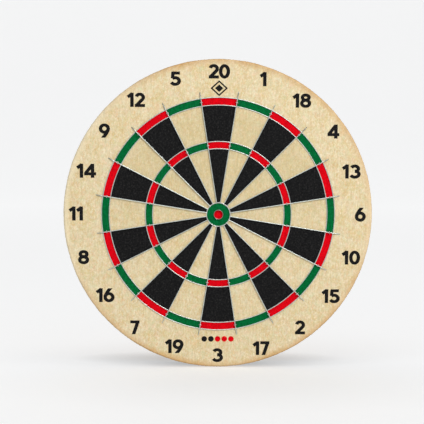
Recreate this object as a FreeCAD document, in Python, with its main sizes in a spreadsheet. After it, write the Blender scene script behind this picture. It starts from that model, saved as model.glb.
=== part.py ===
import FreeCAD, Part
import math
import os
import re
import Sketcher

# A steel-tip dartboard. The Y axis is the board's axis: the face looks along -Y and the wall is at +Y.
# The origin is the centre of the backing board's rear face, where the hanging screw goes in.
# A radius is measured from the Y axis, and a depth is a Y value. All lengths are in millimetres.

DIMENSIONS = {
    # board
    "board_radius": "225",
    "lip_overhang": "0.4",
    "band_thickness": "0.8",
    "band_width": "30",
    "core_thickness": "29",
    "backing_thickness": "9",
    "face_edge_radius": "3.5",
    "print_depth": "0.3",
    # spider
    "wire_diameter": "1.3",
    "weld_sink": "0.25",
    "double_outer_wire_radius": "169.4",
    "double_inner_wire_radius": "158.3",
    "treble_outer_wire_radius": "106",
    "treble_inner_wire_radius": "95.5",
    "outer_bull_wire_radius": "17.2",
    "wire_overhang": "15.5",
    "overhang_variation": "0.8",
    "wire_bend_radius": "13",
    "wire_tip_depth": "14",
    # ring round the inner bull
    "bull_ring_inner_radius": "6.35",
    "bull_ring_wall": "0.6",
    "bull_ring_height": "3",
    "bull_ring_depth": "6",
    "bull_ring_rounding": "0.25",
    # staples
    "staple_wire_diameter": "1",
    "staple_width": "4.2",
    "staple_bend_radius": "0.9",
    "staple_leg_depth": "12",
    # joint of the rim band
    "band_gap": "1",
    "joint_angle": "10",
    "joint_plate_width": "24",
    "rivet_radius": "1.6",
    "rivet_head_radius": "2.8",
    "rivet_head_thickness": "0.9",
    "rivet_spacing": "14",
    "rivet_angle": "2.4",
    # rear fittings
    "hanging_hole_radius": "1.75",
    "foot_circle_radius": "190",
    "foot_base_radius": "10",
    "foot_tip_radius": "8.5",
    "foot_height": "10",
    "foot_seat_depth": "5",
    "foot_recess_radius": "4.5",
    "foot_edge_radius": "1",
    "screw_shank_radius": "1.75",
    "screw_length": "8",
    "screw_point_length": "2",
    "screw_head_radius": "3.4",
    "screw_head_height": "2.2",
    "screw_head_rounding": "0.8",
    "screw_slot_width": "1",
    "screw_slot_length": "4.2",
    "screw_slot_depth": "1.1",
    # depths and radii that follow from the ones above
    "face_depth": "=-core_thickness - backing_thickness",
    "band_outer_radius": "=board_radius - lip_overhang",
    "core_radius": "=band_outer_radius - band_thickness",
    "ring_wire_depth": "=face_depth - wire_diameter / 2",
    "radial_wire_depth": "=ring_wire_depth - wire_diameter + weld_sink",
    "radial_wire_start": "=outer_bull_wire_radius - wire_diameter / 2",
    "staple_crown_depth": "=radial_wire_depth - wire_diameter / 2 - staple_wire_diameter / 2",
    "staple_half_width": "=staple_width / 2 - staple_wire_diameter / 2",
    "staple_tip_depth": "=face_depth + staple_leg_depth",
    "double_staple_radius": "=double_inner_wire_radius / 2 + double_outer_wire_radius / 2",
    "treble_staple_radius": "=treble_inner_wire_radius / 2 + treble_outer_wire_radius / 2",
    "bull_ring_outer_radius": "=bull_ring_inner_radius + bull_ring_wall",
    "joint_plate_radius": "=core_radius - band_thickness",
    "screw_head_seat": "=foot_height - foot_seat_depth",
}

SEGMENTS = 20
SEGMENT_ANGLE = 360.0 / SEGMENTS
SEGMENTS_OF_ONE_COLOUR = SEGMENTS // 2
FEET = ("top_foot", "right_foot", "left_foot")

# A profile is drawn along +X, and turns about Y from there.
# Seen from the front, a positive turn is clockwise.
TURN_TO_TOP = -90.0
TURN_TO_BOTTOM = 90.0
BOARD_AXIS = FreeCAD.Vector(0, 1, 0)

doc = FreeCAD.newDocument("Dartboard")
sheet = doc.addObject("Spreadsheet::Sheet", "Sizes")
parts = []


def fill_sheet():
    """Give every dimension a cell of its own, with a plain-word alias."""
    for row, alias in enumerate(DIMENSIONS, start=1):
        sheet.set(f"A{row}", alias)
        sheet.setAlias(f"B{row}", alias)
    for row, value in enumerate(DIMENSIONS.values(), start=1):
        sheet.set(f"B{row}", value)
    doc.recompute()


def formula(text):
    """The expression over the sheet's aliases that an object outside the sheet can use."""
    return re.sub(r"[a-z_]+", r"Sizes.\g<0>", text)


def value(text):
    """The present value of a formula over the sheet's aliases."""
    return float(sheet.evalExpression(formula(text)))


def keep(thing, label):
    """Name a finished sub-part, and put it on the list of those to be written."""
    thing.Label = label
    parts.append(thing)
    return thing


# Sketches


def new_body(name):
    body = doc.addObject("PartDesign::Body", name)
    body.AllowCompound = True
    return body


def origin_feature(body, role):
    return next(item for item in body.Origin.OriginFeatures if item.Role == role)


def new_sketch(body, name, plane="XY_Plane", offset=None):
    """A sketch on one of the body's origin planes, moved along the plane's normal by a formula."""
    sketch = body.newObject("Sketcher::SketchObject", name)
    sketch.AttachmentSupport = [(origin_feature(body, plane), "")]
    sketch.MapMode = "FlatFace"
    if offset:
        sketch.setExpression("AttachmentOffset.Base.z", formula(offset))
    return sketch


def bind(sketch, kind, places, text):
    """Add a dimension that follows a formula."""
    index = sketch.addConstraint(Sketcher.Constraint(kind, *places, value(text)))
    sketch.setExpression(f"Constraints[{index}]", formula(text))


def place(sketch, edge, end, across, up):
    """Fix one end of an edge by its two distances from the sketch's origin. A distance of None is zero."""
    if across is None:
        sketch.addConstraint(Sketcher.Constraint("PointOnObject", edge, end, -2))
    else:
        bind(sketch, "DistanceX", (-1, 1, edge, end), across)
    if up is None:
        sketch.addConstraint(Sketcher.Constraint("PointOnObject", edge, end, -1))
    else:
        bind(sketch, "DistanceY", (-1, 1, edge, end), up)


def outline(sketch, corners):
    """A closed outline of straight edges. Each corner is a pair of formulas, or None for zero."""
    spots = [FreeCAD.Vector(*(value(text) if text else 0.0 for text in corner), 0) for corner in corners]
    count = len(corners)
    for index in range(count):
        sketch.addGeometry(Part.LineSegment(spots[index], spots[(index + 1) % count]), False)
    for index in range(count):
        sketch.addConstraint(Sketcher.Constraint("Coincident", index, 2, (index + 1) % count, 1))
    for index, (across, up) in enumerate(corners):
        place(sketch, index, 1, across, up)


def circle(sketch, across, up, radius):
    """A circle whose centre and radius are formulas."""
    centre = FreeCAD.Vector(*(value(text) if text else 0.0 for text in (across, up)), 0)
    index = sketch.addGeometry(Part.Circle(centre, FreeCAD.Vector(0, 0, 1), value(radius)), False)
    place(sketch, index, 3, across, up)
    bind(sketch, "Radius", (index,), radius)


def arc(centre, radius, start_degrees, end_degrees):
    whole = Part.Circle(centre, FreeCAD.Vector(0, 0, 1), radius)
    return Part.ArcOfCircle(whole, math.radians(start_degrees), math.radians(end_degrees))


# Features


def revolve(body, name, corners, angle="360"):
    """Turn an outline of radius and depth pairs about the board's axis, half of the angle to each side."""
    sketch = new_sketch(body, name + "Profile")
    outline(sketch, corners)
    doc.recompute()
    feature = body.newObject("PartDesign::Revolution", name)
    feature.Profile = sketch
    feature.ReferenceAxis = (sketch, ["V_Axis"])
    feature.Midplane = True
    feature.setExpression("Angle", formula(angle))
    doc.recompute()
    return feature


def block(left, right, low, high):
    """The four corners of a rectangular profile."""
    return [(left, low), (right, low), (right, high), (left, high)]


def repeat_round_axis(body, name, features, count, angle="360"):
    doc.recompute()
    pattern = body.newObject("PartDesign::PolarPattern", name)
    pattern.Originals = features
    pattern.Axis = (origin_feature(body, "Y_Axis"), [""])
    pattern.setExpression("Angle", formula(angle))
    pattern.Occurrences = count
    body.Tip = pattern
    doc.recompute()
    return pattern


def pad(body, name, sketch, length):
    feature = body.newObject("PartDesign::Pad", name)
    feature.Profile = sketch
    feature.setExpression("Length", formula(length))
    doc.recompute()
    return feature


def round_edges(body, name, radius, wanted):
    """Fillet every edge of the body's tip for which wanted is true."""
    base = body.Tip
    edges = [f"Edge{number}" for number, edge in enumerate(base.Shape.Edges, start=1) if wanted(edge)]
    feature = body.newObject("PartDesign::Fillet", name)
    feature.Base = (base, edges)
    feature.setExpression("Radius", formula(radius))
    doc.recompute()


def is_circle(edge, radius, depth):
    """Whether an edge is a circle round the body's own Y axis with this radius, at this depth."""
    curve = edge.Curve
    if not isinstance(curve, Part.Circle):
        return False
    return abs(curve.Radius - value(radius)) < 1e-3 and abs(curve.Center.y - value(depth)) < 1e-3


def pipe(body, name, profile, spine):
    feature = body.newObject("PartDesign::AdditivePipe", name)
    feature.Profile = profile
    feature.Spine = (spine, [f"Edge{number + 1}" for number in range(spine.GeometryCount)])
    doc.recompute()
    return feature


def turn(body, degrees):
    """Turn a body about the board's axis."""
    body.Placement = FreeCAD.Placement(FreeCAD.Vector(), FreeCAD.Rotation(BOARD_AXIS, degrees))


def gather(name, things):
    group = doc.addObject("Part::Compound", name)
    group.Links = things
    doc.recompute()
    return group


def cut(name, base, tool):
    feature = doc.addObject("Part::Cut", name)
    feature.Base = base
    feature.Tool = tool
    doc.recompute()
    return feature


# Spider


def make_radial_wire(number):
    """One wire, from the outer bull wire to its tip, which curves down into the fibre outside the doubles."""
    body = new_body(f"RadialWire{number:02d}")
    variation = math.sin(2.4 * number)
    tip_radius = f"double_outer_wire_radius + wire_overhang + overhang_variation * {variation:.3f}"
    tip_depth = "face_depth + wire_tip_depth"
    start, end = value("radial_wire_start"), value(tip_radius)
    depth, bend = value("radial_wire_depth"), value("wire_bend_radius")

    spine = new_sketch(body, f"RadialWireLine{number:02d}")
    corner = FreeCAD.Vector(end - bend, depth, 0)
    turned = FreeCAD.Vector(end, depth + bend, 0)
    tip = FreeCAD.Vector(end, value(tip_depth), 0)
    spine.addGeometry(Part.LineSegment(FreeCAD.Vector(start, depth, 0), corner), False)
    spine.addGeometry(arc(FreeCAD.Vector(end - bend, depth + bend, 0), bend, -90, 0), False)
    spine.addGeometry(Part.LineSegment(turned, tip), False)
    spine.addConstraint(Sketcher.Constraint("Tangent", 0, 2, 1, 1))
    spine.addConstraint(Sketcher.Constraint("Tangent", 1, 2, 2, 1))
    spine.addConstraint(Sketcher.Constraint("Horizontal", 0))
    spine.addConstraint(Sketcher.Constraint("Vertical", 2))
    place(spine, 0, 1, "radial_wire_start", "radial_wire_depth")
    place(spine, 2, 2, tip_radius, tip_depth)
    bind(spine, "Radius", (1,), "wire_bend_radius")

    profile = new_sketch(body, f"RadialWireSection{number:02d}", "YZ_Plane", "radial_wire_start")
    circle(profile, "radial_wire_depth", None, "wire_diameter / 2")
    doc.recompute()
    pipe(body, f"RadialWirePipe{number:02d}", profile, spine)
    turn(body, TURN_TO_TOP + SEGMENT_ANGLE * (number - 0.5))
    return keep(body, f"radial_wire_{number:02d}")


def make_ring_wire(name, label, radius, radial_wires):
    """A ring of round wire that lies on the face, with a seat pressed into it under each radial wire."""
    ring = doc.addObject("Part::Torus", name + "Blank")
    ring.setExpression("Radius1", formula(radius))
    ring.setExpression("Radius2", formula("wire_diameter / 2"))
    ring.Placement = FreeCAD.Placement(FreeCAD.Vector(), FreeCAD.Rotation(FreeCAD.Vector(1, 0, 0), 90))
    ring.setExpression("Placement.Base.y", formula("ring_wire_depth"))
    doc.recompute()
    return keep(cut(name, ring, radial_wires), label)


def make_bull_ring():
    """The thin-walled ring that is pressed into the fibre round the inner bull, and stands proud of it."""
    body = new_body("InnerBullRing")
    front, rear = "face_depth - bull_ring_height", "face_depth + bull_ring_depth"
    revolve(body, "BullRingWall", block("bull_ring_inner_radius", "bull_ring_outer_radius", front, rear))
    round_edges(
        body,
        "BullRingRounding",
        "bull_ring_rounding",
        lambda edge: is_circle(edge, "bull_ring_inner_radius", front)
        or is_circle(edge, "bull_ring_outer_radius", front),
    )
    return keep(body, "inner_bull_ring")


def make_staples(name, label, radius):
    """A wire staple across each radial wire: two legs in the fibre, and a crown over the wire."""
    body = new_body(name)
    half, bend = value("staple_half_width"), value("staple_bend_radius")
    crown, tip = value("staple_crown_depth"), value("staple_tip_depth")
    spine = new_sketch(body, name + "Line", "YZ_Plane", radius)
    spots = [
        FreeCAD.Vector(tip, -half, 0),
        FreeCAD.Vector(crown + bend, -half, 0),
        FreeCAD.Vector(crown, bend - half, 0),
        FreeCAD.Vector(crown, half - bend, 0),
        FreeCAD.Vector(crown + bend, half, 0),
        FreeCAD.Vector(tip, half, 0),
    ]
    spine.addGeometry(Part.LineSegment(spots[0], spots[1]), False)
    spine.addGeometry(arc(FreeCAD.Vector(crown + bend, bend - half, 0), bend, 180, 270), False)
    spine.addGeometry(Part.LineSegment(spots[2], spots[3]), False)
    spine.addGeometry(arc(FreeCAD.Vector(crown + bend, half - bend, 0), bend, 90, 180), False)
    spine.addGeometry(Part.LineSegment(spots[4], spots[5]), False)
    # an arc's first end is the one that comes first anticlockwise
    spine.addConstraint(Sketcher.Constraint("Tangent", 0, 2, 1, 2))
    spine.addConstraint(Sketcher.Constraint("Tangent", 1, 1, 2, 1))
    spine.addConstraint(Sketcher.Constraint("Tangent", 2, 2, 3, 2))
    spine.addConstraint(Sketcher.Constraint("Tangent", 3, 1, 4, 1))
    spine.addConstraint(Sketcher.Constraint("Horizontal", 0))
    spine.addConstraint(Sketcher.Constraint("Horizontal", 4))
    spine.addConstraint(Sketcher.Constraint("Vertical", 2))
    place(spine, 0, 1, "staple_tip_depth", "-staple_half_width")
    place(spine, 4, 2, "staple_tip_depth", "staple_half_width")
    bind(spine, "DistanceX", (-1, 1, 2, 1), "staple_crown_depth")
    bind(spine, "Radius", (1,), "staple_bend_radius")
    bind(spine, "Radius", (3,), "staple_bend_radius")

    profile = new_sketch(body, name + "Section", "XZ_Plane", "-staple_tip_depth")
    circle(profile, radius, "-staple_half_width", "staple_wire_diameter / 2")
    doc.recompute()
    staple = pipe(body, name + "Pipe", profile, spine)
    repeat_round_axis(body, name + "Round", [staple], SEGMENTS)
    turn(body, TURN_TO_TOP + SEGMENT_ANGLE / 2)
    return keep(body, label)


# Printed face


def make_print(name, sectors, centre, first_segment):
    """Ink soaked into the face, level with it: every second segment, and a ring or disc at the centre."""
    body = new_body(name)
    rear = "face_depth + print_depth"
    pieces = [
        revolve(body, f"{name}Sector{index}", block(inner, outer, "face_depth", rear), str(SEGMENT_ANGLE))
        for index, (inner, outer) in enumerate(sectors)
    ]
    repeat_round_axis(body, name + "Round", pieces, SEGMENTS_OF_ONE_COLOUR)
    if centre:
        revolve(body, name + "Centre", block(*centre, "face_depth", rear))
    turn(body, TURN_TO_TOP + SEGMENT_ANGLE * first_segment)
    return body


def make_prints(staples):
    treble = ("treble_inner_wire_radius", "treble_outer_wire_radius")
    double = ("double_inner_wire_radius", "double_outer_wire_radius")
    singles = (
        ("outer_bull_wire_radius", "treble_inner_wire_radius"),
        ("treble_outer_wire_radius", "double_inner_wire_radius"),
    )
    inner_bull = (None, "bull_ring_inner_radius")
    outer_bull = ("bull_ring_outer_radius", "outer_bull_wire_radius")
    black = make_print("BlackPrint", singles, None, 0)
    red = make_print("RedPrintBlank", (treble, double), inner_bull, 0)
    green = make_print("GreenPrintBlank", (treble, double), outer_bull, 1)
    return [
        keep(black, "black_print"),
        keep(cut("RedPrint", red, staples), "red_print"),
        keep(cut("GreenPrint", green, staples), "green_print"),
    ]


# Board


def make_rivets():
    """Two rivets through each end of the band, with their heads inside, flush outside."""
    body = new_body("BandRivets")
    stretches = (
        ("Head", "joint_plate_radius - rivet_head_thickness", "rivet_head_thickness", "rivet_head_radius"),
        ("Shank", "joint_plate_radius", "band_outer_radius - joint_plate_radius", "rivet_radius"),
    )
    made = []
    for name, start, length, radius in stretches:
        sketch = new_sketch(body, f"Rivet{name}Circles", "YZ_Plane", start)
        circle(sketch, "-band_width / 2 - rivet_spacing / 2", None, radius)
        circle(sketch, "-band_width / 2 + rivet_spacing / 2", None, radius)
        doc.recompute()
        made.append(pad(body, f"Rivet{name}s", sketch, length))
    repeat_round_axis(body, "RivetPairs", made, 2, "2 * rivet_angle")
    turn(body, TURN_TO_BOTTOM - value("rivet_angle"))
    return keep(body, "band_rivets")


def make_joint_plate(rivets):
    """The curved plate that lies inside the band, across its seam."""
    body = new_body("BandJointBlank")
    low = "-band_width / 2 - joint_plate_width / 2"
    high = "-band_width / 2 + joint_plate_width / 2"
    revolve(body, "JointPlate", block("joint_plate_radius", "core_radius", low, high), "joint_angle")
    turn(body, TURN_TO_BOTTOM)
    return keep(cut("BandJoint", body, rivets), "band_joint_plate")


def make_band(rivets):
    """The steel strip round the rim, with a narrow seam at the bottom."""
    body = new_body("RimBandBlank")
    closed_angle = "360 - band_gap / band_outer_radius * 57.2958"
    revolve(body, "BandStrip", block("core_radius", "band_outer_radius", "-band_width", None), closed_angle)
    turn(body, TURN_TO_TOP)
    return keep(cut("RimBand", body, rivets), "rim_band")


def make_core(let_in):
    """The compressed-fibre disc: it bulges over the band's front edge, and has room for what is let in."""
    body = new_body("FibreCoreBlank")
    corners = [
        (None, "face_depth"),
        ("board_radius", "face_depth"),
        ("board_radius", "-band_width - lip_overhang"),
        ("band_outer_radius", "-band_width"),
        ("core_radius", "-band_width"),
        ("core_radius", "-backing_thickness"),
        (None, "-backing_thickness"),
    ]
    revolve(body, "CoreDisc", corners)
    round_edges(
        body, "CoreEdge", "face_edge_radius", lambda edge: is_circle(edge, "board_radius", "face_depth")
    )
    return keep(cut("FibreCore", body, let_in), "fibre_core")


def make_backing(let_in):
    """The chipboard disc behind the fibre, with a pilot hole for the hanging screw."""
    body = new_body("BackBoardBlank")
    revolve(body, "BackingDisc", block("hanging_hole_radius", "core_radius", "-backing_thickness", None))
    return keep(cut("BackBoard", body, let_in), "back_board")


# Rear feet


def put_on_foot_circle(body, index):
    """Move a body from the board's axis to one of the places on the foot circle, the first at the top."""
    angle = math.radians(360.0 / len(FEET) * index)
    for axis, share in (("x", math.sin(angle)), ("z", math.cos(angle))):
        body.setExpression(f"Placement.Base.{axis}", formula(f"foot_circle_radius * {share:.6f}"))


def make_foot(index, label):
    """A tapered rubber stand-off, hollowed from behind for its screw's head."""
    body = new_body(f"Foot{index}")
    corners = [
        ("screw_shank_radius", None),
        ("foot_base_radius", None),
        ("foot_tip_radius", "foot_height"),
        ("foot_recess_radius", "foot_height"),
        ("foot_recess_radius", "screw_head_seat"),
        ("screw_shank_radius", "screw_head_seat"),
    ]
    revolve(body, f"FootTaper{index}", corners)
    round_edges(
        body,
        f"FootEdge{index}",
        "foot_edge_radius",
        lambda edge: is_circle(edge, "foot_tip_radius", "foot_height"),
    )
    put_on_foot_circle(body, index)
    return keep(body, label)


def make_screw(index):
    """A pan-head wood screw through a foot, with a cross recess and a plain shank."""
    body = new_body(f"FootScrew{index}")
    head_top = "screw_head_seat + screw_head_height"
    corners = [
        (None, "-screw_length"),
        ("screw_shank_radius", "-screw_length + screw_point_length"),
        ("screw_shank_radius", "screw_head_seat"),
        ("screw_head_radius", "screw_head_seat"),
        ("screw_head_radius", head_top),
        (None, head_top),
    ]
    revolve(body, f"ScrewTurning{index}", corners)
    round_edges(
        body,
        f"ScrewHeadEdge{index}",
        "screw_head_rounding",
        lambda edge: is_circle(edge, "screw_head_radius", head_top),
    )
    solid_volume = body.Shape.Volume
    across = ("screw_slot_length / 2", "screw_slot_width / 2")
    for name, (half_x, half_z) in (("Flat", across), ("Upright", across[::-1])):
        sketch = new_sketch(body, f"ScrewSlot{name}{index}", "XZ_Plane", f"-({head_top})")
        outline(sketch, block(f"-{half_x}", half_x, f"-{half_z}", half_z))
        doc.recompute()
        pocket = body.newObject("PartDesign::Pocket", f"ScrewSlotCut{name}{index}")
        pocket.Profile = sketch
        pocket.setExpression("Length", formula("screw_slot_depth"))
        # the sketch's normal points into the head, so the pocket has to follow it
        pocket.Reversed = True
        doc.recompute()
    if body.Shape.Volume >= solid_volume:
        raise RuntimeError("a screw's cross recess cuts nothing")
    put_on_foot_circle(body, index)
    return body


# Whole board


def build():
    fill_sheet()
    radial_wires = [make_radial_wire(number) for number in range(1, SEGMENTS + 1)]
    wire_set = gather("RadialWires", radial_wires)
    make_ring_wire("DoubleOuterWire", "double_outer_wire", "double_outer_wire_radius", wire_set)
    make_ring_wire("DoubleInnerWire", "double_inner_wire", "double_inner_wire_radius", wire_set)
    make_ring_wire("TrebleOuterWire", "treble_outer_wire", "treble_outer_wire_radius", wire_set)
    make_ring_wire("TrebleInnerWire", "treble_inner_wire", "treble_inner_wire_radius", wire_set)
    make_ring_wire("OuterBullWire", "outer_bull_wire", "outer_bull_wire_radius", wire_set)
    bull_ring = make_bull_ring()
    double_staples = make_staples("DoubleStaples", "double_ring_staples", "double_staple_radius")
    treble_staples = make_staples("TrebleStaples", "treble_ring_staples", "treble_staple_radius")
    prints = make_prints(gather("Staples", [double_staples, treble_staples]))

    rivets = make_rivets()
    joint_plate = make_joint_plate(rivets)
    make_band(rivets)
    joint = [joint_plate, rivets]
    let_into_core = prints + [double_staples, treble_staples, wire_set, bull_ring] + joint
    make_core(gather("LetIntoCore", let_into_core))

    for index, label in enumerate(FEET):
        make_foot(index, label)
    screws = gather("FootScrews", [make_screw(index) for index in range(len(FEET))])
    keep(screws, "foot_screws")
    make_backing(gather("LetIntoBacking", [screws] + joint))


def check():
    """Stop if any object failed to compute, or any sub-part is empty or broken."""
    for item in doc.Objects:
        if {"Invalid", "Error"} & set(item.State):
            raise RuntimeError(f"{item.Label}: {item.State}")
    for part in parts:
        if part.Shape.isNull() or not part.Shape.isValid() or not part.Shape.Solids:
            raise RuntimeError(f"{part.Label} has no valid solid")


def write():
    os.makedirs("parts", exist_ok=True)
    for part in parts:
        part.Shape.exportStep(f"parts/{part.Label}.step")
        print(f"{part.Label}: {len(part.Shape.Solids)} solids, {part.Shape.Volume:.1f} cubic millimetres")


build()
doc.recompute()
check()
write()
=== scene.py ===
import math

import bpy
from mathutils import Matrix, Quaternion, Vector, noise
from mathutils.geometry import delaunay_2d_cdt


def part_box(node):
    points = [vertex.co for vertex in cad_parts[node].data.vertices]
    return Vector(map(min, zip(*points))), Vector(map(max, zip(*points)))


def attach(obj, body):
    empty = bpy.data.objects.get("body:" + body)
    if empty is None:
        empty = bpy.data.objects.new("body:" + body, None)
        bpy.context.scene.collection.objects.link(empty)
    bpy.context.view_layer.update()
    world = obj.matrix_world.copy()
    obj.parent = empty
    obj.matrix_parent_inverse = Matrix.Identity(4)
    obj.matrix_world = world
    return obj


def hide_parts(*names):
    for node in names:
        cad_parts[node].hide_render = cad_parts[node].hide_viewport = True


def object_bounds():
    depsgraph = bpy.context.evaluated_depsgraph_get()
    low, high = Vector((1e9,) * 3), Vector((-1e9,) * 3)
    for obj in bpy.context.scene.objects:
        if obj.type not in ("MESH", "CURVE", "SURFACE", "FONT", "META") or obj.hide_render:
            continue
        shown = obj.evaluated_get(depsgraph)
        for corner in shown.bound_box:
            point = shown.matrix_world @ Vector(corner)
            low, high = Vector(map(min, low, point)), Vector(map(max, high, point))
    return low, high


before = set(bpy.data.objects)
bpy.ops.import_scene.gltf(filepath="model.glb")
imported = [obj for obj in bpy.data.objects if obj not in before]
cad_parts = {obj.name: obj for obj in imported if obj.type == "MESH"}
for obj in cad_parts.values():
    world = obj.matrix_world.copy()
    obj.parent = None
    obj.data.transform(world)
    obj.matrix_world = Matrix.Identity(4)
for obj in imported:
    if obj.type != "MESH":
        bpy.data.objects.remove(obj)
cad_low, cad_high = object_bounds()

# Everything is in metres in the row frame: the face looks along -Y, +Z is up through the 20, and +X is to
# the thrower's right.
MM = 0.001
SEGMENTS = 20
SEGMENT_ANGLE = math.tau / SEGMENTS
NUMBERS = (20, 1, 18, 4, 13, 6, 10, 15, 2, 17, 3, 19, 7, 16, 8, 11, 14, 9, 12, 5)


# Places, read from the frame


def wire_centre_radius(node):
    """The radius of a ring wire's centre line."""
    low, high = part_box(node)
    return high.x - (high.y - low.y) / 2


FACE_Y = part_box("fibre_core")[0].y
CORE_BACK_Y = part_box("fibre_core")[1].y
LIP_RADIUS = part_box("fibre_core")[1].x
BAND_FRONT_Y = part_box("rim_band")[0].y
BAND_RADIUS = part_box("rim_band")[1].x
FLOOR_Z = cad_low.z
WIRE_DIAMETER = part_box("double_outer_wire")[1].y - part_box("double_outer_wire")[0].y
DOUBLE_OUTER = wire_centre_radius("double_outer_wire")
DOUBLE_INNER = wire_centre_radius("double_inner_wire")
TREBLE_OUTER = wire_centre_radius("treble_outer_wire")
TREBLE_INNER = wire_centre_radius("treble_inner_wire")
OUTER_BULL = wire_centre_radius("outer_bull_wire")
BULL_RING_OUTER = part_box("inner_bull_ring")[1].x
# the bull ring's wall and the rounding of the disc's front edge, which no box tells
BULL_RING_WALL = 0.6 * MM
EDGE_RADIUS = 3.5 * MM
BULL_RING_INNER = BULL_RING_OUTER - BULL_RING_WALL
PRINT_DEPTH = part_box("black_print")[1].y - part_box("black_print")[0].y


# Camera: a little above and left of the bull, with the board slightly right of the picture's middle

CAMERA_DISTANCE = 1.6
CAMERA_ELEVATION = math.radians(4.5)
CAMERA_SWING = math.radians(1.6)
CAMERA_ROLL = math.radians(0.35)
CAMERA_LENS_MM = 93.5
SENSOR_WIDTH_MM = 36.0
CAMERA_AIM = Vector((-9.3 * MM, FACE_Y, 3.6 * MM))


def make_camera():
    data = bpy.data.cameras.new("camera")
    data.lens = CAMERA_LENS_MM
    data.sensor_width = SENSOR_WIDTH_MM
    camera = bpy.data.objects.new("camera", data)
    bpy.context.scene.collection.objects.link(camera)
    level = math.cos(CAMERA_ELEVATION)
    leftward, forward = math.sin(CAMERA_SWING) * level, math.cos(CAMERA_SWING) * level
    back = Vector((-leftward, -forward, math.sin(CAMERA_ELEVATION)))
    camera.location = CAMERA_AIM + back * CAMERA_DISTANCE
    camera.rotation_mode = "QUATERNION"
    camera.rotation_quaternion = (-back).to_track_quat("-Z", "Y") @ Quaternion((0, 0, 1), CAMERA_ROLL)
    bpy.context.scene.camera = camera


# Materials


def linear(red, green, blue):
    """A colour given as 0 to 255 screen values, as the shader wants it."""
    values = (channel / 255 for channel in (red, green, blue))
    return tuple(v / 12.92 if v <= 0.04045 else ((v + 0.055) / 1.055) ** 2.4 for v in values) + (1.0,)


class Paint:
    """A procedural material while it is being built. Patterns lie in the row frame, in repeats a metre."""

    def __init__(self, name, roughness=0.6, metallic=0.0):
        self.material = bpy.data.materials.new(name)
        self.material.use_nodes = True
        self.tree = self.material.node_tree
        self.shader = self.tree.nodes["Principled BSDF"]
        self.shader.inputs["Roughness"].default_value = roughness
        self.shader.inputs["Metallic"].default_value = metallic
        self.place = self.node("ShaderNodeTexCoord").outputs["Object"]

    def node(self, kind, **settings):
        made = self.tree.nodes.new(kind)
        for key, value in settings.items():
            setattr(made, key, value)
        return made

    def put(self, socket, value):
        """Link an output to a socket, or set the socket's own number or colour."""
        if isinstance(value, bpy.types.NodeSocket):
            self.tree.links.new(value, socket)
        else:
            socket.default_value = value

    def stretched(self, scale, turn=0.0, place=None):
        """Places scaled along the three axes, and then turned about Y."""
        mapping = self.node("ShaderNodeMapping")
        self.put(mapping.inputs["Vector"], place or self.place)
        mapping.inputs["Scale"].default_value = scale
        mapping.inputs["Rotation"].default_value = (0, turn, 0)
        return mapping.outputs["Vector"]

    def warped(self, scale, reach):
        """Places pushed about in the face's plane by up to a reach."""
        warp = self.node("ShaderNodeTexNoise")
        self.put(warp.inputs["Vector"], self.place)
        warp.inputs["Scale"].default_value = scale
        bent = self.node("ShaderNodeVectorMath", operation="MULTIPLY_ADD")
        self.put(bent.inputs[0], warp.outputs["Color"])
        bent.inputs[1].default_value = (reach, 0, reach)
        self.put(bent.inputs[2], self.place)
        return bent.outputs[0]

    def noise(self, scale, detail=2.0, roughness=0.5, place=None):
        made = self.node("ShaderNodeTexNoise")
        self.put(made.inputs["Vector"], place or self.place)
        made.inputs["Scale"].default_value = scale
        made.inputs["Detail"].default_value = detail
        made.inputs["Roughness"].default_value = roughness
        return made.outputs["Fac"]

    def cells(self, scale, place):
        """Uneven cells, each of a random colour."""
        made = self.node("ShaderNodeTexVoronoi")
        self.put(made.inputs["Vector"], place)
        made.inputs["Scale"].default_value = scale
        return made.outputs["Color"]

    def math(self, operation, first, second=0.0, third=0.0):
        made = self.node("ShaderNodeMath", operation=operation)
        for socket, value in zip(made.inputs, (first, second, third)):
            self.put(socket, value)
        return made.outputs[0]

    def product(self, first, *others):
        for other in others:
            first = self.math("MULTIPLY", first, other)
        return first

    def distance(self, first, second):
        """The length of a vector with two parts at right angles."""
        squares = [self.math("POWER", part, 2.0) for part in (first, second)]
        return self.math("SQRT", self.math("ADD", *squares))

    def spread(self, value, low, high, new_low=0.0, new_high=1.0):
        """Carry the values from low to high over to a new range, and hold the ends."""
        made = self.node("ShaderNodeMapRange")
        self.put(made.inputs["Value"], value)
        made.inputs["From Min"].default_value = low
        made.inputs["From Max"].default_value = high
        made.inputs["To Min"].default_value = new_low
        made.inputs["To Max"].default_value = new_high
        return made.outputs["Result"]

    def mix(self, factor, first, second):
        made = self.node("ShaderNodeMix", data_type="RGBA")
        self.put(made.inputs["Factor"], factor)
        self.put(made.inputs[6], first)
        self.put(made.inputs[7], second)
        return made.outputs[2]

    def tinted(self, colour, pattern, low, high, most, tint):
        """A colour with a share of a tint, from none where a pattern is low to the most where it is high."""
        return self.mix(self.spread(pattern, low, high, 0.0, most), colour, tint)

    def shade(self, colour, amount):
        """A colour with its brightness multiplied by a value."""
        made = self.node("ShaderNodeVectorMath", operation="SCALE")
        self.put(made.inputs[0], colour)
        self.put(made.inputs["Scale"], amount)
        return made.outputs[0]

    def bump(self, height, distance, strength=1.0):
        made = self.node("ShaderNodeBump")
        made.inputs["Strength"].default_value = strength
        made.inputs["Distance"].default_value = distance
        self.put(made.inputs["Height"], height)
        self.put(self.shader.inputs["Normal"], made.outputs["Normal"])

    def axis(self, letter, place=None):
        split = self.node("ShaderNodeSeparateXYZ")
        self.put(split.inputs[0], place or self.place)
        return split.outputs[letter]

    def colour(self, value):
        self.put(self.shader.inputs["Base Color"], value)

    def roughness(self, value):
        self.put(self.shader.inputs["Roughness"], value)


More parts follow.
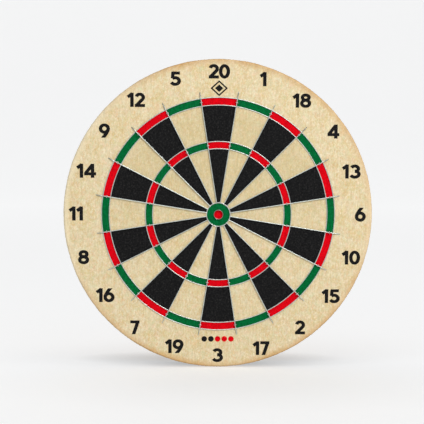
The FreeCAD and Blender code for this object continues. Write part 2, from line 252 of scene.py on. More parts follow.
def fibre_height(paint):
    """How the pressed fibre ends stand: fine bundle ends, in small uneven clumps."""
    ends = paint.noise(1500, detail=3.0, roughness=0.6)
    clumps = paint.noise(260, detail=2.0)
    return paint.math("MULTIPLY_ADD", ends, 0.6, clumps)


def fibre_tone(paint, streaks, clumps, specks):
    """A brightness near 1 over the face: upright streaks, clumps and specks, each with a strength."""
    layers = (
        (streaks, paint.noise(420, detail=4.0, roughness=0.65, place=paint.stretched((1.0, 1.0, 0.12)))),
        (clumps, paint.noise(210, detail=3.0, roughness=0.6)),
        (specks, paint.noise(520, detail=3.0, roughness=0.75)),
    )
    tone = 1.0
    for strength, pattern in layers:
        tone = paint.math("MULTIPLY", tone, paint.spread(pattern, 0.25, 0.75, 1 - strength, 1 + strength))
    return tone


def radius_from_axis(paint):
    return paint.distance(paint.axis("X"), paint.axis("Z"))


CREAM = linear(214, 201, 165)
STRAW = linear(206, 188, 139)
PEACH = linear(208, 173, 128)
BLEACHED = linear(230, 220, 194)
BROWN = linear(184, 134, 84)
ROSY = linear(223, 192, 160)
GREENISH = linear(202, 200, 157)
ORANGE = linear(204, 156, 98)
PALE_EDGE = linear(229, 214, 181)
TAN = linear(199, 156, 100)
# a darker copy of the tan for where the edge turns away from the face: painted shade
PAINTED_SHADE_TAN = linear(176, 132, 80)
HAIR_TURNS = (0.9, -0.5, 0.1)


def bundle_colour(paint):
    """Cream fibre ends, mottled at many scales, with brown flecks and stray orange hairs."""
    colour = paint.tinted(CREAM, paint.noise(62, detail=4.0, roughness=0.6), 0.36, 0.64, 1.0, STRAW)
    bundle = paint.cells(210, paint.warped(160, 6 * MM))
    colour = paint.tinted(colour, paint.axis("X", bundle), 0.5, 1.0, 0.25, PEACH)
    colour = paint.tinted(colour, paint.axis("Y", bundle), 0.5, 1.0, 0.25, BLEACHED)
    warm = paint.noise(520, detail=3.0, roughness=0.7, place=paint.stretched((1.0, 1.0, 0.45)))
    colour = paint.tinted(colour, warm, 0.48, 0.72, 0.85, PEACH)
    pale = paint.noise(460, detail=3.0, roughness=0.7, place=paint.stretched((1.0, 1.0, 0.7), turn=0.6))
    colour = paint.tinted(colour, pale, 0.48, 0.72, 0.85, BLEACHED)
    colour = paint.tinted(colour, paint.noise(420, detail=2.0, roughness=0.4), 0.66, 0.74, 0.45, BROWN)
    for tint, turn in ((ROSY, 0.0), (GREENISH, 1.3)):
        patches = paint.noise(130, detail=3.0, roughness=0.6, place=paint.stretched((1.0, 1.0, 1.0), turn))
        colour = paint.tinted(colour, patches, 0.5, 0.68, 0.5, tint)
    for turn in HAIR_TURNS:
        laid = paint.stretched((1.0, 1.0, 0.16), place=paint.stretched((1.0, 1.0, 1.0), turn))
        hairs = paint.noise(400, detail=1.0, roughness=0.4, place=laid)
        colour = paint.tinted(colour, hairs, 0.64, 0.72, 0.22, ORANGE)
    return colour


def played_area(paint):
    """How much darker and yellower the fibre is: inside the doubles, and mostly in the upper half."""
    inside = paint.spread(radius_from_axis(paint), 0.14, 0.17, 1.0, 0.0)
    return paint.product(inside, paint.spread(paint.axis("Z"), -0.05, 0.06, 0.2, 1.0))


def rounded_side(paint):
    """How far the edge has turned away from the face, from none on the face to most on the side."""
    return paint.spread(paint.axis("Y"), FACE_Y + 0.4 * MM, FACE_Y + 2.2 * MM, 0.0, 0.85)


def aged_edge(paint, colour, turned):
    """The colour with a tan edge of uneven width, paler at the left, with painted shade at its turn and top.
    """
    wander = paint.math("MULTIPLY", paint.noise(120, detail=4.0, roughness=0.65), 9 * MM)
    reach = paint.math("ADD", radius_from_axis(paint), wander)
    edge = paint.spread(reach, LIP_RADIUS - 6 * MM, LIP_RADIUS + 3 * MM, 0.0, 0.9)
    edge = paint.math("MAXIMUM", edge, turned)
    leftward = paint.math("MULTIPLY_ADD", paint.axis("Z"), 0.26, paint.product(paint.axis("X"), -0.97))
    away_from_left = paint.spread(leftward, 0.11, 0.215, 1.0, 0.0)
    patchy = paint.spread(paint.noise(14, detail=2.0), 0.4, 0.6, 0.7, 1.0)
    off_middle = paint.spread(paint.math("ABSOLUTE", paint.axis("Z")), 0.03, 0.1, 0.4, 1.0)
    tan_share = paint.product(away_from_left, patchy, off_middle)
    # the tan darkens where the edge turns: painted shade
    edge_colour = paint.mix(tan_share, PALE_EDGE, paint.mix(turned, TAN, PAINTED_SHADE_TAN))
    # the edge darker towards the top: painted shade
    painted_top_shade = paint.product(paint.spread(paint.axis("Z"), 0.02, 0.2), edge)
    edge_colour = paint.shade(edge_colour, paint.math("MULTIPLY_ADD", painted_top_shade, -0.2, 1.0))
    return paint.mix(edge, colour, edge_colour)


def natural_fibre():
    """Undyed pressed fibre, darker and yellower inside the doubles, with a tan edge that has painted shade.
    """
    paint = Paint("natural_fibre", roughness=0.85)
    paint.shader.inputs["Specular IOR Level"].default_value = 0.15
    inner_tint = played_area(paint)
    turned = rounded_side(paint)
    colour = paint.mix(paint.product(inner_tint, 0.4), bundle_colour(paint), STRAW)
    colour = aged_edge(paint, colour, turned)
    side_streaks = paint.noise(1100, detail=2.0, roughness=0.6, place=paint.stretched((1.0, 0.05, 1.0)))
    side = paint.math("SUBTRACT", paint.spread(side_streaks, 0.3, 0.7, 0.72, 1.12), 1.0)
    side = paint.math("MULTIPLY_ADD", side, turned, 1.0)
    inner_darkening = paint.math("MULTIPLY_ADD", inner_tint, -0.07, 1.0)
    tone = paint.product(fibre_tone(paint, 0.11, 0.06, 0.12), side, inner_darkening)
    paint.colour(paint.shade(colour, tone))
    paint.roughness(paint.spread(paint.noise(900), 0.3, 0.7, 0.78, 0.95))
    paint.bump(fibre_height(paint), 0.25 * MM, 0.5)
    return paint.material


def ink(name, colour, thin_colour, unevenness):
    """Ink soaked into the fibre, with small spots where it is thinner."""
    paint = Paint(name, roughness=0.8)
    paint.shader.inputs["Specular IOR Level"].default_value = 0.05
    thin = paint.noise(420, detail=4.0, roughness=0.7)
    tone = fibre_tone(paint, unevenness / 2, unevenness / 2, unevenness)
    paint.colour(paint.shade(paint.tinted(colour, thin, 0.5, 0.75, 0.8, thin_colour), tone))
    paint.roughness(paint.spread(paint.noise(900), 0.3, 0.7, 0.7, 0.92))
    paint.bump(fibre_height(paint), 0.25 * MM, 0.4)
    return paint.material


def wire_metal(name, bright, dull, roughness):
    """Bright metal: cloudy, finely pitted, with painted shade beyond the doubles where wires enter the fibre.
    """
    paint = Paint(name, roughness=roughness, metallic=1.0)
    clouds = paint.spread(paint.noise(330, detail=4.0, roughness=0.6), 0.35, 0.7)
    # painted shade on the metal beyond the doubles, deepest towards the top of the board
    painted_tip_shade = paint.spread(radius_from_axis(paint), DOUBLE_OUTER + 1.0 * MM, DOUBLE_OUTER + 5 * MM)
    painted_tip_shade = paint.product(painted_tip_shade, paint.spread(paint.axis("Z"), -0.06, 0.1, 0.1, 0.55))
    paint.colour(paint.shade(paint.mix(clouds, bright, dull), paint.math("SUBTRACT", 1.0, painted_tip_shade)))
    paint.roughness(paint.spread(paint.noise(1700, detail=3.0), 0.3, 0.7, roughness - 0.08, roughness + 0.12))
    paint.bump(paint.noise(2600, detail=2.0), 0.03 * MM, 0.3)
    return paint.material


def band_paint():
    """Black stove enamel on the steel band, with a slight orange peel and rubbed lighter in places."""
    paint = Paint("band_paint", roughness=0.4)
    rubbed = paint.noise(120, detail=6.0, roughness=0.7)
    paint.colour(paint.tinted(linear(30, 30, 32), rubbed, 0.62, 0.72, 0.5, linear(78, 78, 80)))
    paint.roughness(paint.spread(paint.noise(500, detail=3.0), 0.3, 0.7, 0.32, 0.5))
    paint.bump(paint.noise(700, detail=2.0), 0.05 * MM, 0.35)
    return paint.material


def chipboard():
    """Pressed wood chips in many tans, upright and crossed, with dark spots of glue."""
    paint = Paint("chipboard", roughness=0.75)
    paint.shader.inputs["Specular IOR Level"].default_value = 0.25
    warped = paint.warped(220, 4 * MM)
    upright = paint.cells(230, paint.stretched((1.0, 1.0, 0.45), place=warped))
    crossed = paint.cells(300, paint.stretched((0.4, 1.0, 1.0), place=warped))
    half_upright = paint.product(paint.axis("X", upright), 0.5)
    chips = paint.math("MULTIPLY_ADD", paint.axis("X", crossed), 0.5, half_upright)
    colour = paint.mix(chips, linear(148, 112, 74), linear(206, 172, 126))
    glue = paint.noise(360, detail=4.0, roughness=0.7)
    colour = paint.tinted(colour, glue, 0.56, 0.68, 0.55, linear(104, 74, 46))
    paint.colour(paint.shade(colour, paint.spread(paint.noise(1800, detail=2.0), 0.3, 0.7, 0.93, 1.05)))
    paint.roughness(paint.spread(paint.noise(700), 0.3, 0.7, 0.65, 0.85))
    paint.bump(paint.math("ADD", chips, paint.noise(1300, detail=3.0)), 0.2 * MM, 0.4)
    return paint.material


def rubber():
    paint = Paint("foot_rubber", roughness=0.7)
    dust = paint.noise(700, detail=4.0, roughness=0.7)
    paint.colour(paint.tinted(linear(28, 28, 29), dust, 0.5, 0.8, 0.5, linear(58, 57, 55)))
    paint.roughness(paint.spread(paint.noise(900), 0.3, 0.7, 0.6, 0.85))
    paint.bump(paint.noise(1500, detail=3.0), 0.08 * MM, 0.4)
    return paint.material


# Meshes

# the face's swells: their height, their repeats a metre, and which slice of the noise they are
RELIEF_HEIGHT = 0.11 * MM
RELIEF_SCALE = 45
RELIEF_SLICE = 0.3


def make_object(name, points, faces, material, slot, smooth_degrees=40.0):
    """A piece of the board from plain points and faces, which rides on the board."""
    mesh = bpy.data.meshes.new(name)
    mesh.from_pydata(points, [], faces)
    mesh.validate()
    mesh.materials.append(material)
    mesh.shade_smooth()
    mesh.set_sharp_from_angle(angle=math.radians(smooth_degrees))
    piece = bpy.data.objects.new(name, mesh)
    bpy.context.scene.collection.objects.link(piece)
    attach(piece, "root")
    return piece


def relief(x, z):
    """How far the pressed face lies behind its mean plane at a place: low, broad swells."""
    return RELIEF_HEIGHT * noise.fractal(Vector((x, RELIEF_SLICE, z)) * RELIEF_SCALE, 1.0, 2.0, 2)


def on_face(x, z, lift=0.0):
    """The point of the pressed face at a place, or one in front of it by a lift."""
    return Vector((x, FACE_Y + relief(x, z) - lift, z))


# The pressed disc and its printed zones share one polar grid, so that their edges meet

SPOKES = 1080
RING_STEP = 3.6 * MM
EDGE_STEPS = 8
# the cut fibre ends reach out from here to the lip's full radius at most
SIDE_RADIUS = LIP_RADIUS - 0.35 * MM
# the chamfer at the lip's back, and the lip's clearance to the band
LIP_CHAMFER = 0.4 * MM
LIP_CLEARANCE = 0.05 * MM
# how far the disc's hidden side lies inside the band's outer face
HIDDEN_INSET = 1.0 * MM
# between the back of a printed patch and the fibre under it
BED_GAP = 0.02 * MM
ZONE_STOPS = (
    0.0,
    BULL_RING_INNER,
    BULL_RING_OUTER,
    OUTER_BULL,
    TREBLE_INNER,
    TREBLE_OUTER,
    DOUBLE_INNER,
    DOUBLE_OUTER,
    SIDE_RADIUS - EDGE_RADIUS,
)
# each band between two stops: its zone in the 20's segment, and in the 1's
BAND_ZONES = (
    ("red", "red"),
    ("natural", "natural"),
    ("green", "green"),
    ("black", "natural"),
    ("red", "green"),
    ("black", "natural"),
    ("red", "green"),
    ("natural", "natural"),
)


def face_rings():
    """The grid's radii, with the band that each ring of cells lies in."""
    radii, bands = [0.0], []
    for band, (inner, outer) in enumerate(zip(ZONE_STOPS, ZONE_STOPS[1:])):
        steps = max(1, round((outer - inner) / RING_STEP))
        radii += [inner + (outer - inner) * (step + 1) / steps for step in range(steps)]
        bands += [band] * steps
    return radii, bands


RADII, RING_BANDS = face_rings()


def zone_of(ring, spoke):
    segment = int((spoke + 0.5) / SPOKES * SEGMENTS + 0.5) % SEGMENTS
    return BAND_ZONES[RING_BANDS[ring]][segment % 2]


ZONES = [[zone_of(ring, spoke) for spoke in range(SPOKES)] for ring in range(len(RING_BANDS))]


class FaceGrid:
    """Points of the polar grid, each made once. A sunk point lies behind the face by a depth."""

    def __init__(self):
        self.points = []
        self.numbers = {}

    def point(self, ring, spoke, sunk):
        spoke = spoke % SPOKES if ring else 0
        key = (ring, spoke, sunk)
        if key not in self.numbers:
            angle = math.tau * spoke / SPOKES
            radius = RADII[ring]
            self.numbers[key] = len(self.points)
            self.points.append(on_face(radius * math.sin(angle), radius * math.cos(angle), -sunk))
        return self.numbers[key]

    def cell(self, ring, spoke, sunk):
        """The corners of one cell from its inner ring, clockwise as the thrower sees them."""
        corners = [
            self.point(ring, spoke, sunk),
            self.point(ring + 1, spoke, sunk),
            self.point(ring + 1, spoke + 1, sunk),
            self.point(ring, spoke + 1, sunk),
        ]
        return corners[:3] if ring == 0 else corners

    def wall(self, first, second, near, far):
        """A step between two depths, along the edge between two grid places."""
        places = ((first, near), (second, near), (second, far), (first, far))
        return [self.point(*place, sunk) for place, sunk in places]


def cell_edges(ring, spoke):
    """Each edge of a cell as two grid places, with the cell on its other side."""
    yield (ring, spoke), (ring + 1, spoke), (ring, spoke - 1)
    yield (ring + 1, spoke), (ring + 1, spoke + 1), (ring + 1, spoke)
    yield (ring + 1, spoke + 1), (ring, spoke + 1), (ring, spoke + 1)
    if ring:
        yield (ring, spoke + 1), (ring, spoke), (ring - 1, spoke)


def zone_at(ring, spoke):
    return ZONES[ring][spoke % SPOKES] if 0 <= ring < len(ZONES) else "natural"


def bed_depth(zone):
    return 0.0 if zone == "natural" else PRINT_DEPTH


def make_print(name, zone, node, material, slot):
    """One printed colour: thin closed patches, level with the face, that end just short of their beds."""
    grid, faces = FaceGrid(), []
    depth = PRINT_DEPTH - BED_GAP
    for ring, row in enumerate(ZONES):
        for spoke, here in enumerate(row):
            if here != zone:
                continue
            faces.append(grid.cell(ring, spoke, 0.0)[::-1])
            faces.append(grid.cell(ring, spoke, depth))
            for first, second, (next_ring, next_spoke) in cell_edges(ring, spoke):
                if zone_at(next_ring, next_spoke) != zone:
                    faces.append(grid.wall(first, second, 0.0, depth))
    piece = make_object(name, grid.points, faces, material, slot)
    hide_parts(node)


def edge_profile():
    """Radius and depth pairs from the face's rim round the edge, and down the side to the band."""
    centre_radius, centre_y = SIDE_RADIUS - EDGE_RADIUS, FACE_Y + EDGE_RADIUS
    for step in range(1, EDGE_STEPS + 1):
        angle = math.pi / 2 * step / EDGE_STEPS
        yield centre_radius + EDGE_RADIUS * math.sin(angle), centre_y - EDGE_RADIUS * math.cos(angle)
    yield SIDE_RADIUS, (centre_y + BAND_FRONT_Y) / 2
    yield SIDE_RADIUS, BAND_FRONT_Y - LIP_CHAMFER


def ragged(angle, y, share):
    """How far the cut fibre ends stand out of the edge, or fall short of it."""
    around = Vector((math.sin(angle), 0.0, math.cos(angle))) * SIDE_RADIUS
    long_wave = noise.noise(around * 60)
    tufts = noise.noise(around * 520 + Vector((0, y * 60, 0)))
    hairs = noise.noise(around * 900 + Vector((0, y * 200, 0)))
    return share * (0.25 * long_wave + 0.45 * tufts + 0.3 * hairs) * MM


def make_fibre_disc(material):
    """The whole pressed disc: its face, sunk where it is printed, its ragged edge, its side and its back."""
    grid, faces = FaceGrid(), []
    for ring, row in enumerate(ZONES):
        for spoke, here in enumerate(row):
            depth = bed_depth(here)
            faces.append(grid.cell(ring, spoke, depth)[::-1])
            for first, second, (next_ring, next_spoke) in cell_edges(ring, spoke):
                beyond = bed_depth(zone_at(next_ring, next_spoke))
                if depth < beyond:
                    faces.append(grid.wall(first, second, depth, beyond))
    points = grid.points
    last = [grid.point(len(RADII) - 1, spoke, 0.0) for spoke in range(SPOKES)]
    lip_back = BAND_FRONT_Y - LIP_CLEARANCE
    hidden = BAND_RADIUS - HIDDEN_INSET
    # each loop's radius and depth, and how ragged it is
    loops = [(radius, y, 1.0) for radius, y in edge_profile()]
    loops += [(BAND_RADIUS, lip_back, 0.0), (hidden, lip_back, 0.0), (hidden, CORE_BACK_Y, 0.0)]
    for step, (radius, y, share) in enumerate(loops, start=1):
        turned = min(1.0, step / EDGE_STEPS)
        loop = []
        for spoke in range(SPOKES):
            angle = math.tau * spoke / SPOKES
            out = min(radius + ragged(angle, y, share * turned), LIP_RADIUS)
            point = Vector((out * math.sin(angle), y, out * math.cos(angle)))
            point.y += relief(point.x, point.z) * (1 - turned)
            loop.append(len(points))
            points.append(point)
        for spoke in range(SPOKES):
            after = (spoke + 1) % SPOKES
            faces.append([last[spoke], last[after], loop[after], loop[spoke]])
        last = loop
    faces.append(last)
    piece = make_object("fibre_disc", points, faces, material, "plant_fibre", smooth_degrees=60.0)
    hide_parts("fibre_core")


# Numbers and marks: strokes with cut ends, printed a hair proud of the face

NUMBER_HEIGHT = 20.3 * MM
PRINT_PROUD = 0.05 * MM
PRINT_BACK = 0.25 * MM
# in figure heights: the thickness of an upright stroke and of a level one, the spacing of points along a
# straight one, and the gap after a 1, the only figure that one follows
UPRIGHT = 0.25
LEVEL = 0.215
STROKE_STEP = 0.11
GAP_AFTER_ONE = 0.075
# how finely the curves are drawn
BOW_STEP_DEGREES = 12
SWOOP_STEPS = 6
LOZENGE_STEPS = 16


def line(start, end):
    """A straight stroke, with points every step of the way."""
    start, end = Vector(start), Vector(end)
    steps = max(1, math.ceil((end - start).length / STROKE_STEP))
    return [start.lerp(end, i / steps) for i in range(steps + 1)]


def bow(centre, across, up, first, last):
    """Part of an ellipse between two angles in degrees, which grow anticlockwise from the right."""
    steps = max(4, math.ceil(abs(last - first) / BOW_STEP_DEGREES))
    angles = [math.radians(first + (last - first) * step / steps) for step in range(steps + 1)]
    return [Vector((centre[0] + across * math.cos(a), centre[1] + up * math.sin(a))) for a in angles]


def swoop(start, pull, end):
    """A quadratic curve."""
    start, pull, end = Vector(start), Vector(pull), Vector(end)
    shares = [step / SWOOP_STEPS for step in range(SWOOP_STEPS + 1)]
    return [start.lerp(pull, t).lerp(pull.lerp(end, t), t) for t in shares]


def then_straight(path, end):
    return path + line(path[-1], end)[1:]


def half_turned(strokes, width):
    return [[Vector((width - point.x, 1 - point.y)) for point in path] for path in strokes]


SIX = [
    bow((0.3925, 0.355), 0.2725, 0.255, 0, 360),
    swoop((0.485, 1.0), (0.20, 0.67), (0.125, 0.42)),
]
# each figure: its width and its strokes, in figure heights from its lower left corner
FIGURES = {
    "0": (0.785, [bow((0.3925, 0.5), 0.2725, 0.40, 0, 360)]),
    "1": (0.45, [line((0.335, 0.0), (0.335, 1.0)), line((0.37, 0.94), (0.03, 0.70))]),
    "2": (0.735, [
        then_straight(bow((0.365, 0.68), 0.245, 0.22, 168, -36), (0.14, 0.12)),
        line((0.01, 0.10), (0.735, 0.10)),
    ]),
    "3": (0.785, [
        bow((0.37, 0.705), 0.255, 0.193, 158, -90),
        bow((0.37, 0.317), 0.30, 0.216, 90, -158),
    ]),
    "4": (0.855, [
        line((0.59, 0.93), (0.10, 0.31)),
        line((0.0, 0.28), (0.855, 0.28)),
        line((0.60, 0.0), (0.60, 1.0)),
    ]),
    "5": (0.735, [
        line((0.12, 0.895), (0.70, 0.895)),
        line((0.215, 0.97), (0.175, 0.52)),
        bow((0.365, 0.335), 0.285, 0.235, 132, -156),
    ]),
    "6": (0.785, SIX),
    "7": (0.667, [line((0.0, 0.90), (0.667, 0.90)), line((0.54, 0.90), (0.24, 0.0))]),
    "8": (0.785, [
        bow((0.3925, 0.722), 0.235, 0.178, 0, 360),
        bow((0.3925, 0.312), 0.2725, 0.212, 0, 360),
    ]),
    "9": (0.785, half_turned(SIX, 0.785)),
}


def ribbon(path, thickness):
    """A stroke's two edges as pairs of points, mitred where it turns. Its direction sets its thickness."""
    closed = (path[0] - path[-1]).length < 1e-6
    pairs = []
    for i, point in enumerate(path):
        before = path[i - 1] if i else (path[-2] if closed else None)
        after = path[i + 1] if i + 1 < len(path) else (path[1] if closed else None)
        into = (point - before).normalized() if before is not None else (after - point).normalized()
        out = (after - point).normalized() if after is not None else into
        along = (into + out).normalized()
        side = Vector((-along.y, along.x))
        reach = thickness(along) / 2 / max(0.5, side.dot(Vector((-into.y, into.x))))
        pairs.append([point + side * reach, point - side * reach])
    return pairs


def pen(along):
    """A figure's stroke is thicker where it runs upright."""
    return LEVEL + (UPRIGHT - LEVEL) * abs(along.y)


def trim_level(pairs, path):
    """Cut a stroke level where it ends on the figure's top or bottom line."""
    for end, next_to in ((0, 1), (-1, -2)):
        along = path[end] - path[next_to]
        if min(abs(path[end].y), abs(path[end].y - 1)) < 1e-6 and abs(along.y) > abs(along.x) / 2:
            for point in pairs[end]:
                point += along * ((path[end].y - point.y) / along.y)


class Stencil:
    """Strokes gathered over the face, and made into one closed thin piece where they meet or cross."""

    def __init__(self):
        self.points = []
        self.quads = []

    def fill(self, pairs):
        first = len(self.points)
        for left, right in pairs:
            self.points += [left, (left + right) / 2, right]
        for i in range(len(pairs) - 1):
            a, b = first + 3 * i, first + 3 * (i + 1)
            self.quads += [[a, a + 1, b + 1, b], [a + 1, a + 2, b + 2, b + 1]]

    def shell(self):
        """The strokes' outline filled once, as a front and a back joined by walls."""
        flat, _, triangles, _, _, sources = delaunay_2d_cdt(self.points, [], self.quads, 1, 1e-7, True)
        kept = [list(triangle) for triangle, source in zip(triangles, sources) if source]
        used = sorted({corner for triangle in kept for corner in triangle})
        number = {corner: i for i, corner in enumerate(used)}
        kept = [[number[corner] for corner in triangle] for triangle in kept]
        count = len(used)
        points = [on_face(flat[corner].x, flat[corner].y, PRINT_PROUD) for corner in used]
        points += [on_face(flat[corner].x, flat[corner].y, -PRINT_BACK) for corner in used]
        faces = kept + [[corner + count for corner in reversed(triangle)] for triangle in kept]
        edges = {(t[i], t[(i + 1) % 3]) for t in kept for i in range(3)}
        faces += [[b, a, a + count, b + count] for a, b in sorted(edges) if (b, a) not in edges]
        return points, faces


def number_width(text):
    return sum(FIGURES[figure][0] for figure in text) + GAP_AFTER_ONE * text[:-1].count("1")


# each number fills an ellipse, which touches a circle inside the rim, but for small shifts outwards in mm
TOUCHED_RADIUS = 215.1 * MM
TOUCHED_CENTRE_Z = 0.6 * MM
SHIFTS_OUT = {
    20: 1.1, 4: -0.6, 13: 1.0, 10: 2.4, 15: 1.2, 17: 2.8,
    3: 2.8, 8: -1.3, 11: 1.1, 14: -0.5, 9: -2.2, 12: -0.7,
}


def number_centre(value, angle):
    half_width = number_width(str(value)) * NUMBER_HEIGHT / 2
    reach = math.hypot(half_width * math.sin(angle), NUMBER_HEIGHT / 2 * math.cos(angle))
    radius = TOUCHED_RADIUS - reach + SHIFTS_OUT.get(value, 0.0) * MM
    return Vector((radius * math.sin(angle), TOUCHED_CENTRE_Z + radius * math.cos(angle)))


def make_numbers(material):
    stencil = Stencil()
    for segment, value in enumerate(NUMBERS):
        text = str(value)
        corner = number_centre(value, segment * SEGMENT_ANGLE) / NUMBER_HEIGHT
        corner -= Vector((number_width(text) / 2, 0.5))
        for figure in text:
            width, strokes = FIGURES[figure]
            for path in strokes:
                pairs = ribbon(path, pen)
                trim_level(pairs, path)
                stencil.fill([[(corner + point) * NUMBER_HEIGHT for point in pair] for pair in pairs])
            corner.x += width + (GAP_AFTER_ONE if figure == "1" else 0.0)
    make_object("numbers", *stencil.shell(), material, "black_ink")


# Plain marks between the doubles and the numbers: a framed diamond under the 20, and five dots above the 3

DIAMOND_Z = 182.5 * MM
DIAMOND_WIDTH = 22 * MM
DIAMOND_HEIGHT = 20 * MM
DIAMOND_LINE = 2.1 * MM
# the filled diamond inside, as a share of the outline's size
DIAMOND_CORE = 0.55
DOTS_Z = -183 * MM
DOT_WIDTH = 8.2 * MM
DOT_SPACING = 9.8 * MM
BLACK_DOTS = 2
RED_DOTS = 3


def lozenge(stencil, centre, width, height, roundness):
    """A filled shape from a diamond, with a roundness of 1, to an ellipse, with 2."""
    pairs = []
    for step in range(LOZENGE_STEPS + 1):
        up = -math.cos(math.pi * step / LOZENGE_STEPS)
        half = width / 2 * max(1e-3, 1 - abs(up) ** roundness) ** (1 / roundness)
        middle = centre + Vector((0, up * height / 2))
        pairs.append([middle - Vector((half, 0)), middle + Vector((half, 0))])
    stencil.fill(pairs)


def make_marks(black, red):
    dark, bright = Stencil(), Stencil()
    middle = Vector((0, DIAMOND_Z))
    lozenge(dark, middle, DIAMOND_WIDTH * DIAMOND_CORE, DIAMOND_HEIGHT * DIAMOND_CORE, 1.0)
    tips = [(0, 0.5), (0.5, 0), (0, -0.5), (-0.5, 0), (0, 0.5)]
    outline = [middle + Vector((across * DIAMOND_WIDTH, up * DIAMOND_HEIGHT)) for across, up in tips]
    dark.fill(ribbon(outline, lambda along: DIAMOND_LINE))
    dots = BLACK_DOTS + RED_DOTS
    for dot in range(dots):
        centre = Vector(((dot - (dots - 1) / 2) * DOT_SPACING, DOTS_Z))
        lozenge(dark if dot < BLACK_DOTS else bright, centre, DOT_WIDTH, DOT_WIDTH, 2.0)
    make_object("black_marks", *dark.shell(), black, "black_ink")
    make_object("red_marks", *bright.shell(), red, "red_ink")


# Welds where the radial wires cross the rings

WELD_RADIUS = WIRE_DIAMETER * 0.62
WELD_HALF_DEPTH = WIRE_DIAMETER * 0.55
WELD_UNEVENNESS = 0.12
WELD_SIDES = 12
WELD_LEVELS = 6


def blob(points, faces, centre, radii):
    """A closed lump with its poles along Y."""
    first = len(points)
    points.append(centre - Vector((0, radii.y, 0)))
    for level in range(1, WELD_LEVELS):
        tilt = math.pi * level / WELD_LEVELS
        for side in range(WELD_SIDES):
            turn = math.tau * side / WELD_SIDES
            out = Vector((math.cos(turn) * math.sin(tilt), -math.cos(tilt), math.sin(turn) * math.sin(tilt)))
            points.append(centre + out * radii)
    points.append(centre + Vector((0, radii.y, 0)))
    last = len(points) - 1
    for side in range(WELD_SIDES):
        after = (side + 1) % WELD_SIDES
        faces.append([first, first + 1 + side, first + 1 + after])
        for row in range(WELD_LEVELS - 2):
            near = first + 1 + row * WELD_SIDES
            far = near + WELD_SIDES
            faces.append([near + side, far + side, far + after, near + after])
        base = last - WELD_SIDES
        faces.append([last, base + after, base + side])


def make_welds(material):
    points, faces = [], []
    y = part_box("double_outer_wire")[0].y
    for number in range(SEGMENTS):
        angle = (number + 0.5) * SEGMENT_ANGLE
        for ring, radius in enumerate((OUTER_BULL, TREBLE_INNER, TREBLE_OUTER, DOUBLE_INNER, DOUBLE_OUTER)):
            centre = Vector((radius * math.sin(angle), y, radius * math.cos(angle)))
            uneven = 1 + WELD_UNEVENNESS * noise.noise(centre * 900 + Vector((ring, 0, 0)))
            blob(points, faces, centre, Vector((WELD_RADIUS * uneven, WELD_HALF_DEPTH, WELD_RADIUS / uneven)))
    make_object("wire_welds", points, faces, material, "galvanised_wire", smooth_degrees=180.0)


# The studio: a pale glowing sweep, a soft key from the upper right, and weak lights overhead and at the left

SWEEP_FLAT_TO = 3.2
SWEEP_RADIUS = 1.6
SWEEP_STEPS = 16
SWEEP_FRONT = -14.0
SWEEP_HALF_WIDTH = 14.0
SWEEP_HEIGHT = 4.0
# how strongly the paper glows: by the board, on the wall behind it, and far out to the sides and in front
GLOW_NEAR = 0.529
GLOW_WALL = 0.552
GLOW_OUTSIDE = 0.2
# where it fades, along X to the sides and along Y in front, and the Y where it starts to rise to the wall's
GLOW_SIDE_FADE = (1.5, 4.0)
GLOW_FRONT_FADE = (-2.6, -0.8)
GLOW_RISES_FROM = -0.4
# ovals of painted shade, with less glow: a slight one in front of the board and the contact shade under it:
# the centre's X and Y, the half sizes, the share of them where it starts to fade, and how much glow it takes
GLOW_DIPS = (
    ((0.05, -0.13), (0.4, 0.17), 0.2, 0.06),
    ((-0.01, 0.025), (0.21, 0.055), 0.3, 0.245),
)
WORLD_STRENGTH = 0.52
# each light's place, what it aims at, its sizes across and up, and its power in watts
KEY = ((1.0, -1.9, 1.75), (0, 0, 0), (0.55, 0.55), 48.5)
TOP = ((0.1, -0.45, 1.7), (0, -0.05, -0.2), (2.2, 0.4), 6.0)
FILL = ((-1.6, -2.6, 0.9), (0, 0, 0), (2.0, 2.0), 2.0)


def paper_glow(paint):
    """The paper's glow: even round the board but for its shade, less far out to the sides and in front."""
    by_depth = paint.spread(paint.axis("Y"), GLOW_RISES_FROM, SWEEP_FLAT_TO, GLOW_NEAR, GLOW_WALL)
    sides = paint.spread(paint.math("ABSOLUTE", paint.axis("X")), *GLOW_SIDE_FADE, 1.0, 0.0)
    front = paint.spread(paint.axis("Y"), *GLOW_FRONT_FADE)
    faded = paint.product(paint.math("SUBTRACT", by_depth, GLOW_OUTSIDE), sides, front)
    glow = paint.math("ADD", faded, GLOW_OUTSIDE)
    # each oval takes glow from the paper: painted shade
    for centre, half_sizes, fade_from, taken in GLOW_DIPS:
        shares = [
            paint.math("DIVIDE", paint.math("SUBTRACT", paint.axis(letter), middle), half_size)
            for letter, middle, half_size in zip("XY", centre, half_sizes)
        ]
        glow = paint.math("SUBTRACT", glow, paint.spread(paint.distance(*shares), fade_from, 1.0, taken, 0.0))
    return glow


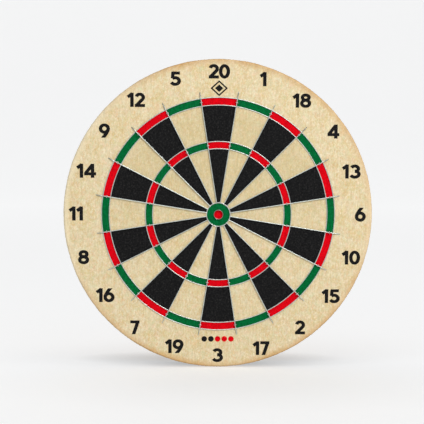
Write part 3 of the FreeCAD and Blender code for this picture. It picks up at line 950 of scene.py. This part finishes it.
def make_sweep():
    profile = [(SWEEP_FRONT, 0.0)]
    for step in range(SWEEP_STEPS + 1):
        angle = math.pi / 2 * step / SWEEP_STEPS
        lift = SWEEP_RADIUS * (1 - math.cos(angle))
        profile.append((SWEEP_FLAT_TO + SWEEP_RADIUS * math.sin(angle), lift))
    profile.append((SWEEP_FLAT_TO + SWEEP_RADIUS, SWEEP_HEIGHT))
    points, faces = [], []
    for y, lift in profile:
        points.append((-SWEEP_HALF_WIDTH, y, FLOOR_Z + lift))
        points.append((SWEEP_HALF_WIDTH, y, FLOOR_Z + lift))
    for i in range(len(profile) - 1):
        faces.append([2 * i, 2 * i + 1, 2 * i + 3, 2 * i + 2])
    mesh = bpy.data.meshes.new("sweep")
    mesh.from_pydata(points, [], faces)
    mesh.shade_smooth()
    paint = Paint("sweep_paper", roughness=0.9)
    paint.shader.inputs["Specular IOR Level"].default_value = 0.1
    paint.colour(paint.mix(paint.noise(3.0), linear(199, 200, 201), linear(201, 202, 203)))
    paint.shader.inputs["Emission Color"].default_value = (1.0, 1.0, 1.0, 1.0)
    paint.put(paint.shader.inputs["Emission Strength"], paper_glow(paint))
    mesh.materials.append(paint.material)
    sweep = bpy.data.objects.new("sweep", mesh)
    bpy.context.scene.collection.objects.link(sweep)
    return sweep


def make_area_light(name, place, aim, size, watts):
    data = bpy.data.lights.new(name, "AREA")
    data.shape = "RECTANGLE"
    data.size, data.size_y = size
    data.energy = watts
    light = bpy.data.objects.new(name, data)
    bpy.context.scene.collection.objects.link(light)
    light.location = place
    light.rotation_mode = "QUATERNION"
    light.rotation_quaternion = (Vector(aim) - Vector(place)).to_track_quat("-Z", "Y")
    return light


def keep_light_off(light, piece):
    """Shade one stage piece from a light, as a flag would."""
    lit = bpy.data.collections.new(light.name + "_lit")
    lit.objects.link(piece)
    light.light_linking.receiver_collection = lit
    lit.collection_objects[0].light_linking.link_state = "EXCLUDE"


def make_lights(sweep):
    world = bpy.data.worlds.new("studio")
    world.use_nodes = True
    background = world.node_tree.nodes["Background"]
    background.inputs["Color"].default_value = (1.0, 1.0, 1.0, 1.0)
    background.inputs["Strength"].default_value = WORLD_STRENGTH
    bpy.context.scene.world = world
    key = make_area_light("key", *KEY)
    keep_light_off(key, sweep)
    make_area_light("top", *TOP)
    fill = make_area_light("fill", *FILL)
    keep_light_off(fill, sweep)


# The board


def finish_nodes(names, material):
    """Give CAD pieces that keep their shape a finished material."""
    for name in names:
        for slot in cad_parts[name].material_slots:
            slot.material = material


natural = natural_fibre()
black_ink = ink("black_ink", linear(21, 21, 22), linear(54, 53, 51), 0.5)
red_ink = ink("red_ink", linear(208, 0, 16), linear(186, 16, 28), 0.36)
green_ink = ink("green_ink", linear(0, 94, 46), linear(0, 108, 62), 0.4)
number_ink = ink("number_ink", linear(22, 22, 23), linear(50, 47, 43), 0.4)
wire = wire_metal("galvanised_wire", (0.70, 0.74, 0.70, 1), (0.48, 0.52, 0.49, 1), 0.46)
# a lighter copy of the wire metal for the outer bull wire: a painted highlight
painted_highlight_wire = wire_metal("painted_highlight_wire", (0.82, 0.83, 0.82, 1), (0.58, 0.60, 0.58, 1), 0.34)
ring_steel = wire_metal("ring_steel", (0.40, 0.40, 0.40, 1), (0.26, 0.26, 0.26, 1), 0.3)
staple = wire_metal("staple_wire", (0.60, 0.60, 0.59, 1), (0.42, 0.42, 0.41, 1), 0.4)
zinc = wire_metal("zinc_plating", (0.74, 0.75, 0.74, 1), (0.55, 0.57, 0.58, 1), 0.36)
rivet = wire_metal("rivet_steel", (0.66, 0.66, 0.66, 1), (0.42, 0.42, 0.42, 1), 0.42)
enamel = band_paint()

make_fibre_disc(natural)
make_print("black_beds", "black", "black_print", black_ink, "black_ink")
make_print("red_beds", "red", "red_print", red_ink, "red_ink")
make_print("green_beds", "green", "green_print", green_ink, "green_ink")
make_numbers(number_ink)
make_marks(number_ink, red_ink)
make_welds(wire)

ring_wires = ["double_outer_wire", "double_inner_wire", "treble_outer_wire", "treble_inner_wire"]
finish_nodes(ring_wires + [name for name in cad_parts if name.startswith("radial_wire")], wire)
# the outer bull wire takes the lighter copy, a painted highlight
finish_nodes(["outer_bull_wire"], painted_highlight_wire)
finish_nodes(["inner_bull_ring"], ring_steel)
finish_nodes(["double_ring_staples", "treble_ring_staples"], staple)
finish_nodes(["rim_band", "band_joint_plate"], enamel)
finish_nodes(["band_rivets"], rivet)
finish_nodes(["back_board"], chipboard())
finish_nodes(["top_foot", "right_foot", "left_foot"], rubber())
finish_nodes(["foot_screws"], zinc)

make_lights(make_sweep())
make_camera()
bpy.context.scene.view_settings.view_transform = "Standard"
